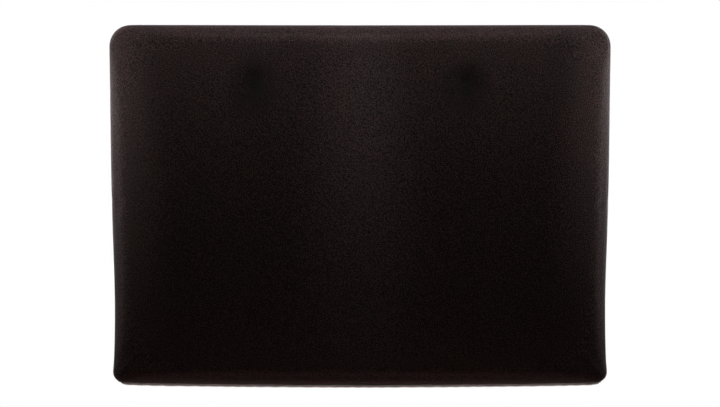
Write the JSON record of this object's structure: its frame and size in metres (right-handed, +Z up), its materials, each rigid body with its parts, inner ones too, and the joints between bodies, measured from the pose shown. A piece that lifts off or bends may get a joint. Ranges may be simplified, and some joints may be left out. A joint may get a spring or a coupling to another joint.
{
  "type": "wall punch pad",
  "caption": "Rectangular foam-filled, cloth-covered strike pad on a board that hangs on an interlocking wall cleat.",
  "frame": {"origin": "middle of the wall cleat's back face, on the wall plane", "axes": "+Z up, +X to the right for someone facing the pad, +Y into the wall; the strike face looks along -Y"},
  "size_m": [0.7, 0.1019, 0.5055],
  "materials": {
    "cleat": "satin",
    "cap_plastic": "matte",
    "black_steel": "satin",
    "zinc_steel": "satin",
    "plywood": "matte",
    "base_foam": "matte",
    "mid_foam": "matte",
    "front_foam": "matte",
    "strike_cloth": "matte",
    "side_cloth": "matte",
    "binding": "matte",
    "dust_sheet": "matte",
    "rubber": "matte"
  },
  "bodies": {
    "wall_bracket": {"wall_cleat": "cleat", "end_cap_left": "cap_plastic", "end_cap_right": "cap_plastic"},
    "pad": {"pad_cleat": "cleat", "pad_cleat_bolts": "black_steel", "pad_cleat_washers": "zinc_steel", "pad_cleat_screws": "zinc_steel", "tee_nuts": "zinc_steel", "backing_board": "plywood", "base_foam": "base_foam", "mid_foam": "mid_foam", "strike_cover": "strike_cloth", "bottom_gusset": "side_cloth", "seam_binding": "binding", "cover_skirt": "side_cloth", "cover_staples": "zinc_steel", "dust_cover": "dust_sheet", "dust_cover_staples": "zinc_steel", "bumper_left": "rubber", "bumper_right": "rubber", "bumper_screws": "zinc_steel"},
    "strike_layer": {"front_foam": "front_foam"}
  },
  "joints": [
    {"name": "lift_off", "type": "slide", "parent": "wall_bracket", "child": "pad", "axis": [0, 0, 1], "range_m": [0, 0.02]},
    {"name": "strike_compression", "type": "slide", "parent": "pad", "child": "strike_layer", "axis": [0, 1, 0], "range_m": [0, 0.018], "stiffness_N_per_m": 40000, "deforming": ["mid_foam", "strike_cover", "bottom_gusset", "seam_binding"]}
  ]
}
